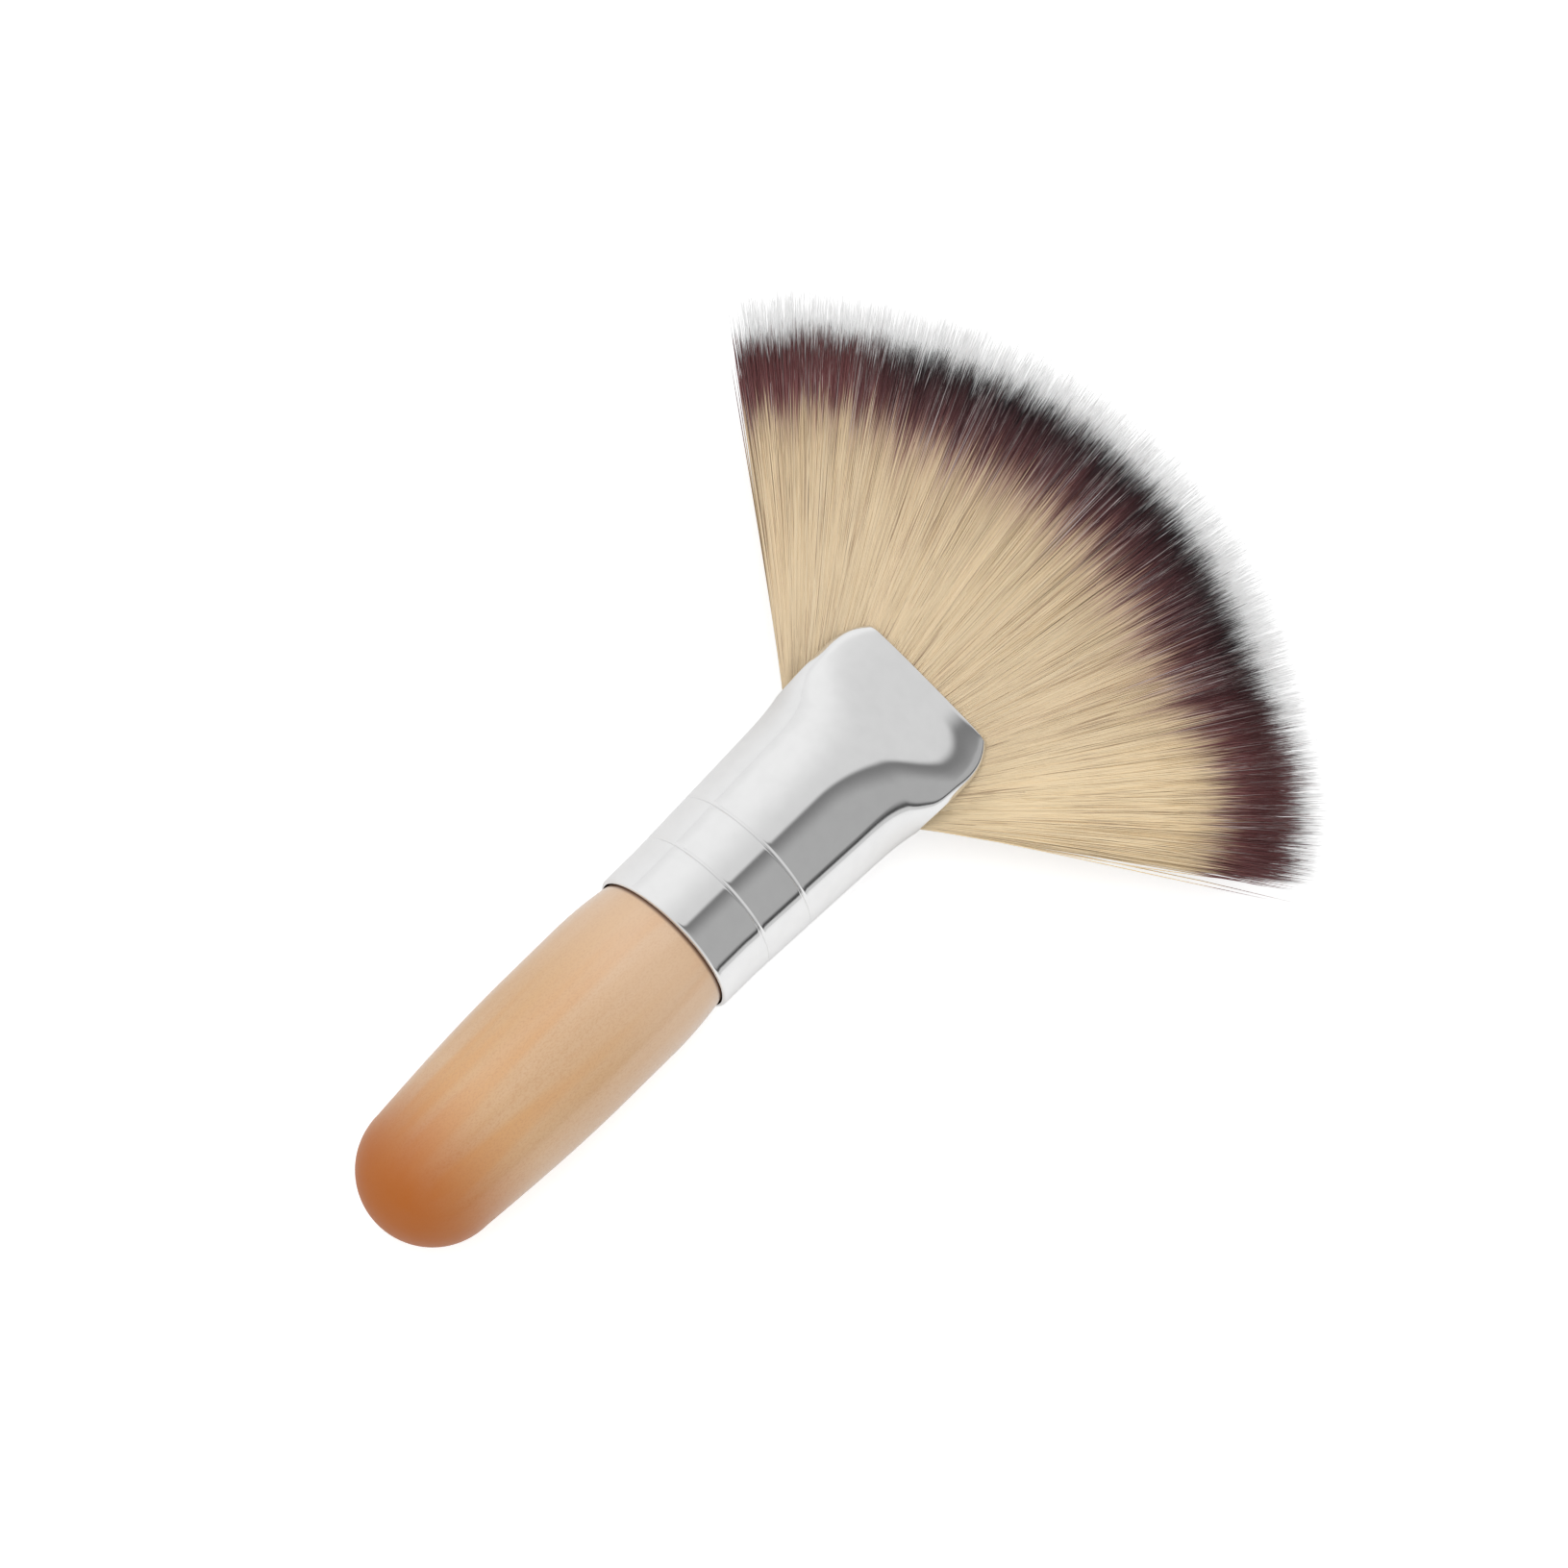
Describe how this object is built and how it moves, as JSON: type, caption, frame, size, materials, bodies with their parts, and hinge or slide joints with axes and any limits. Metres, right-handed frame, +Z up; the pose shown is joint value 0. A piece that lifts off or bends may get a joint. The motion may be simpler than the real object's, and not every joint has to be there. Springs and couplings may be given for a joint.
{
  "type": "fan makeup brush",
  "caption": "Short round wooden handle in a thin metal ferrule, which is pressed flat and notched at its mouth to spread a tuft of bristles into a fan.",
  "frame": {"origin": "on the table under the middle of the brush as it lies", "axes": "+Z up from the table, +Y along the brush from the butt of the handle to the bristle tips, +X across the fan"},
  "size_m": [0.0693, 0.1, 0.0148],
  "materials": {
    "handle_wood": "pale turned wood under a thin clear satin lacquer",
    "ferrule_metal": "bright drawn aluminium, close to a mirror",
    "set_glue": "amber set resin",
    "bristle_fibre": "soft synthetic filaments, cream with a dark brown band and pale grey tips"
  },
  "bodies": {
    "root": {"handle": "handle_wood", "ferrule": "ferrule_metal", "glue_plug": "set_glue", "bristles": "bristle_fibre"}
  },
  "joints": []
}
